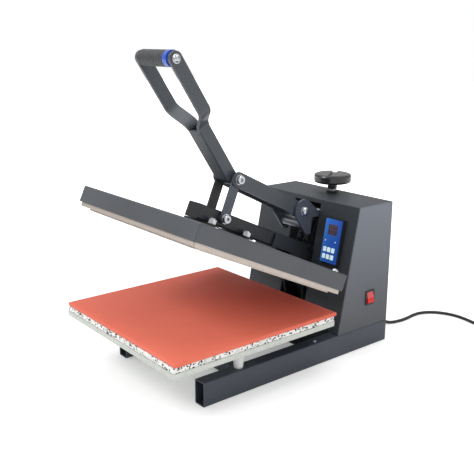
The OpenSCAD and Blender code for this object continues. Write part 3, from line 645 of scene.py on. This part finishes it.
def slab(name, low, high, radius, look, cells, wobble, seed, crown=0.0):
    """A sheet with rounded edges, whose rim wanders a little and whose top may be crowned."""
    rng = random.Random(seed)
    waves = [(rng.uniform(*WAVE_RATES), rng.uniform(0, WAVE_PHASE), rng.uniform(*WAVE_RATES),
              rng.uniform(0, WAVE_PHASE)) for _ in range(WAVES)]
    size = high - low
    bm = bmesh.new()

    def lift(u, v):
        return crown * (1 - (2 * u - 1) ** 4) * (1 - (2 * v - 1) ** 4)

    def rim_point(side, t):
        corners = [(0, 0), (1, 0), (1, 1), (0, 1), (0, 0)]
        a, b = corners[side], corners[side + 1]
        return a[0] + (b[0] - a[0]) * t, a[1] + (b[1] - a[1]) * t

    outline = [rim_point(side, i / cells) for side in range(4) for i in range(cells)]
    rings = []
    for k in range(-ROUND_STEPS, ROUND_STEPS + 1):
        angle = math.pi / 2 * k / ROUND_STEPS
        inset = radius * (1 - math.cos(angle))
        height = low.z + radius + (size.z - 2 * radius) * (0 if k <= 0 else 1) + radius * math.sin(angle)
        ring = []
        for u, v in outline:
            x, y = low.x + size.x * u, low.y + size.y * v
            bend = sum(math.sin(f * (x * 7 + y * 9) + p) * math.sin(g * (y * 6 - x * 8) + q)
                       for f, p, g, q in waves) / len(waves)
            inward = inset + wobble * (0.5 + 0.5 * bend)
            ring.append(bm.verts.new((min(max(x, low.x + inward), high.x - inward),
                                      min(max(y, low.y + inward), high.y - inward), height)))
        rings.append(ring)
        if k == 0:
            rings.append([bm.verts.new((p.co.x, p.co.y, high.z - radius)) for p in ring])
    for a, b in zip(rings, rings[1:]):
        bridge_ring(bm, a, b)
    for ring, top in ((rings[0], False), (rings[-1], True)):
        grid = [[None] * (cells + 1) for _ in range(cells + 1)]
        z = ring[0].co.z
        for i, (u, v) in enumerate(outline):
            grid[round(u * cells)][round(v * cells)] = ring[i]
        for i in range(1, cells):
            for j in range(1, cells):
                u, v = i / cells, j / cells
                raised = lift(u, v) if top else 0
                grid[i][j] = bm.verts.new((low.x + size.x * u, low.y + size.y * v, z + raised))
        for i in range(cells):
            for j in range(cells):
                bm.faces.new((grid[i][j], grid[i + 1][j], grid[i + 1][j + 1], grid[i][j + 1]))
    return new_piece(name, bm, look, 60)


def make_board():
    """The bonded foam board and the silicone pad that lies on it."""
    low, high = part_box("foam_board")
    board = slab("speckled_board", low, high, 0.0006, FOAM, 60, 0.0009, 3)
    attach(board, "frame")
    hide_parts("foam_board")
    low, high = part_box("silicone_pad")
    pad = slab("pressing_pad", low, high, 0.0022, SILICONE, 48, 0.0008, 8, 0.0004)
    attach(pad, "frame")
    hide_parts("silicone_pad")


make_board()


# ---------------------------------------------------------------- grip
RIB_PITCH = 0.0086
RIB_HEIGHT = 0.00042
RIB_STEPS = 8
GRIP_BORE = 0.0051
GRIP_SKIN = 0.0005   # how far the valleys between its ribs lie inside the CAD solid
SOFT_END = 0.0022    # length over which its ends round off
SOFT_DROP = 0.0016   # and how far they fall
BORE_INSET = 0.0004


def make_grip():
    """A ribbed foam sleeve on the grip bolt, soft at its ends."""
    low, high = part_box("grip_foam")
    centre = (low + high) / 2
    radius = (high.z - low.z) / 2
    length = high.x - low.x
    sideways = Matrix.Rotation(math.radians(90), 4, "Y")
    matrix = Matrix.Translation(Vector((low.x, centre.y, centre.z))) @ sideways
    ribs = round(length / RIB_PITCH)
    steps = ribs * RIB_STEPS
    profile = [(GRIP_BORE, BORE_INSET)]
    for i in range(steps + 1):
        along = length * i / steps
        end = min(along, length - along)
        soft = min(1.0, math.sqrt(max(end, 0.0) / SOFT_END))
        rib = RIB_HEIGHT * (1 - abs(math.cos(math.pi * ribs * along / length)) ** 0.5)
        profile.append((radius - SOFT_DROP * (1 - soft) - GRIP_SKIN + rib, along))
    profile.append((GRIP_BORE, length - BORE_INSET))
    bm = bmesh.new()
    rings = lathe(bm, profile, 56, matrix)
    bridge_ring(bm, rings[-1], rings[0])
    grip = new_piece("foam_sleeve", bm, GRIP, 70)
    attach(grip, "lever")
    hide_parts("grip_foam")


make_grip()


# ---------------------------------------------------------------- lift springs
SPRING_X = 0.010
COIL_RADIUS = 0.0066
WIRE_RADIUS = 0.0011
COIL_TURNS = 15
COIL_TURN_STEPS = 14
HOOK = 0.013         # length of the plain hook at each end


def joint_at(name):
    """Where a joint's axis is, from the record."""
    row = next(j for j in frame["record"]["behaviour"]["joints"] if j["name"] == name)
    return Vector(row["pos_m"])


def make_springs():
    """Two close-wound extension springs, from the rocker's pin down to the pin between the gussets."""
    pin_low, pin_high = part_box("spring_pin")
    foot = (pin_low + pin_high) / 2
    head = joint_at("rocker_tilt")
    for side, label in ((-1, "left"), (1, "right")):
        top = Vector((side * SPRING_X, head.y, head.z))
        bottom = Vector((side * SPRING_X, foot.y, foot.z))
        axis = (bottom - top).normalized()
        across = Vector((1, 0, 0))
        other = axis.cross(across)
        reach = (bottom - top).length
        points = [top + other * 0.0072 + axis * 0.001, top + other * 0.0058 + axis * 0.007]
        count = COIL_TURNS * COIL_TURN_STEPS
        for i in range(count + 1):
            angle = 2 * math.pi * i / COIL_TURN_STEPS
            along = HOOK + (reach - 2 * HOOK) * i / count
            outward = math.cos(angle) * other + math.sin(angle) * across
            points.append(top + axis * along + COIL_RADIUS * outward)
        points += [bottom + other * 0.0046 - axis * 0.006, bottom + other * 0.0055 - axis * 0.001]
        bm = bmesh.new()
        sweep(bm, points, WIRE_RADIUS, 8)
        spring = new_piece(f"lift_spring_{label}", bm, SPRING, 50)
        if side < 0:
            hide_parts("lift_springs")
        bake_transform(spring)


make_springs()


# ---------------------------------------------------------------- small fittings
LAMP_RADIUS = 0.0017
LAMP_RISE = 0.0009
LAMP_SINK = 0.0004   # how deep its foot sits in the panel
LAMP_UP = -0.0005
LAMP_OUT = 0.0002


def panel_frame():
    """The slanted control panel's middle, and the directions across it, up it and out of it."""
    low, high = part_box("control_overlay")
    centre = (low + high) / 2
    key_low, key_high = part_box("button_2")
    lower_low, lower_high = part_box("button_5")
    up = ((key_low + key_high) - (lower_low + lower_high)).normalized()
    across = Vector((1, 0, 0))
    return centre, across, up, across.cross(up)


def make_lamps():
    """Two small indicator lamps between the display and the keys."""
    look = Look("lamp", 0.2, coat=0.5)
    tone = look.mottle(300.0, 2.0, srgb(150, 196, 244), srgb(200, 226, 252))
    look.colour(tone)
    look.glow(tone, 0.4)
    centre, across, up, out = panel_frame()
    for offset, label in ((-0.016, "left"), (0.012, "right")):
        place = centre + across * offset + up * LAMP_UP + out * LAMP_OUT
        rotation = Matrix((across, up, out)).transposed().to_4x4()
        bm = bmesh.new()
        profile = [(0, -LAMP_SINK), (LAMP_RADIUS, -LAMP_SINK)]
        profile += [(LAMP_RADIUS * math.cos(a), LAMP_RISE * math.sin(a)) for a in (0.0, 0.4, 0.8, 1.2)]
        profile.append((0, LAMP_RISE))
        lathe(bm, profile, 20, Matrix.Translation(place) @ rotation)
        lamp = new_piece(f"lamp_{label}", bm, look, 50)
        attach(lamp, "frame")


make_lamps()


OPEN_ANGLE = 24.7    # how far the platen stands open, in degrees
COVER_TOP = 0.1712   # height of the cover's top when the press is closed
CAP_IN = 0.016       # from the cover's right edge
CAP_BACK = 0.172     # behind the board's middle


def make_cover_cap():
    """A small bright cap on the back right corner of the moving cover."""
    cover_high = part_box("platen_cover")[1]
    hinge = joint_at("platen_close")
    turn = Matrix.Rotation(math.radians(-OPEN_ANGLE), 4, "X")
    # a point on the cover's top, near its back right corner, given with the platen closed
    closed = Vector((cover_high.x - CAP_IN, board_centre.y + CAP_BACK, COVER_TOP))
    place = hinge + turn @ (closed - hinge)
    bm = bmesh.new()
    profile = [(0, -0.001), (0.0062, -0.001), (0.0062, 0.0018), (0.0056, 0.003), (0.0044, 0.0042),
               (0.0020, 0.0050), (0, 0.0052)]
    lathe(bm, profile, 28, Matrix.Translation(place) @ turn)
    cap = new_piece("inlet_cap", bm, NICKEL, 40)
    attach(cap, "platen")


make_cover_cap()


# ---------------------------------------------------------------- floor and light
FLOOR_HALF = 9
FLOOR_FADE = (0.5, 1.6)   # distances over which the floor brightens to plain white
FLOOR_GLOW = (0.30, 1.0)  # its own light at those distances, as the camera sees it
FLOOR_BOUNCE = 0.35       # the share of that light which reaches the object
DOME_HORIZON = 0.42
DOME_STRENGTH = 0.95
DOME_TOP = 0.75           # height on the dome from which it is white
LIGHT_TARGET = (0, 0.15, 0.2)
# name, place (above the floor at the board's middle), size and power
LIGHTS = (
    ("key", (-0.9, -1.9, 2.4), 1.2, 31),
    ("right", (2.6, 0.5, 1.5), 1.0, 7),
    ("top", (0.2, 0.3, 2.6), 1.4, 18),
)


def make_floor():
    """A pale floor that takes soft shadows near the press and runs out into the white behind it."""
    bm = bmesh.new()
    bmesh.ops.create_grid(bm, x_segments=1, y_segments=1, size=FLOOR_HALF)
    look = Look("floor", 0.9)
    look.colour(look.mottle(2.0, 2.0, shade(WHITE, 0.90), shade(WHITE, 0.93)))
    away = look.tree.nodes.new("ShaderNodeVectorMath")
    away.operation = "LENGTH"
    look.link(look.coord.outputs["Object"], away.inputs[0])
    fade = look.tree.nodes.new("ShaderNodeMapRange")
    fade.inputs["From Min"].default_value = FLOOR_FADE[0]
    fade.inputs["From Max"].default_value = FLOOR_FADE[1]
    fade.inputs["To Min"].default_value = FLOOR_GLOW[0]
    fade.inputs["To Max"].default_value = FLOOR_GLOW[1]
    look.link(away.outputs["Value"], fade.inputs["Value"])
    look.shader.inputs["Emission Color"].default_value = WHITE
    # the glow is mostly for the eye, so the undersides keep their shade
    path = look.tree.nodes.new("ShaderNodeLightPath")
    share = look.tree.nodes.new("ShaderNodeMath")
    share.operation = "MAXIMUM"
    share.inputs[1].default_value = FLOOR_BOUNCE
    look.link(path.outputs["Is Camera Ray"], share.inputs[0])
    seen = look.tree.nodes.new("ShaderNodeMath")
    seen.operation = "MULTIPLY"
    look.link(fade.outputs["Result"], seen.inputs[0])
    look.link(share.outputs["Value"], seen.inputs[1])
    look.link(seen.outputs["Value"], look.shader.inputs["Emission Strength"])
    floor = new_piece("floor", bm, look)


def make_light():
    """A soft dome, darker at the horizon, and three soft lamps."""
    scene.view_settings.view_transform = "Standard"
    world = bpy.data.worlds.new("world")
    scene.world = world
    world.use_nodes = True
    tree = world.node_tree
    light_dome = tree.nodes["Background"]
    coord = tree.nodes.new("ShaderNodeTexCoord")
    split = tree.nodes.new("ShaderNodeSeparateXYZ")
    sky = tree.nodes.new("ShaderNodeValToRGB")
    tree.links.new(coord.outputs["Generated"], split.inputs["Vector"])
    tree.links.new(split.outputs["Z"], sky.inputs["Fac"])
    tree.links.new(sky.outputs["Color"], light_dome.inputs["Color"])
    sky.color_ramp.elements[0].color = shade(WHITE, DOME_HORIZON)
    sky.color_ramp.elements[1].color = WHITE
    sky.color_ramp.elements[1].position = DOME_TOP
    light_dome.inputs["Strength"].default_value = DOME_STRENGTH
    # the wall behind the object is plain white
    backdrop = tree.nodes.new("ShaderNodeBackground")
    backdrop.inputs["Color"].default_value = WHITE
    path = tree.nodes.new("ShaderNodeLightPath")
    blend = tree.nodes.new("ShaderNodeMixShader")
    tree.links.new(path.outputs["Is Camera Ray"], blend.inputs["Fac"])
    tree.links.new(light_dome.outputs["Background"], blend.inputs[1])
    tree.links.new(backdrop.outputs["Background"], blend.inputs[2])
    tree.links.new(blend.outputs["Shader"], tree.nodes["World Output"].inputs["Surface"])
    middle = Vector((0, board_centre.y, 0))
    target = Vector(LIGHT_TARGET) + middle
    for name, place, size, power in LIGHTS:
        data = bpy.data.lights.new(name, "AREA")
        data.shape = "DISK"
        data.size = size
        data.energy = power
        light = bpy.data.objects.new(name, data)
        light.location = Vector(place) + middle
        light.rotation_euler = (target - light.location).to_track_quat("-Z", "Y").to_euler()
        scene.collection.objects.link(light)


make_floor()
make_light()
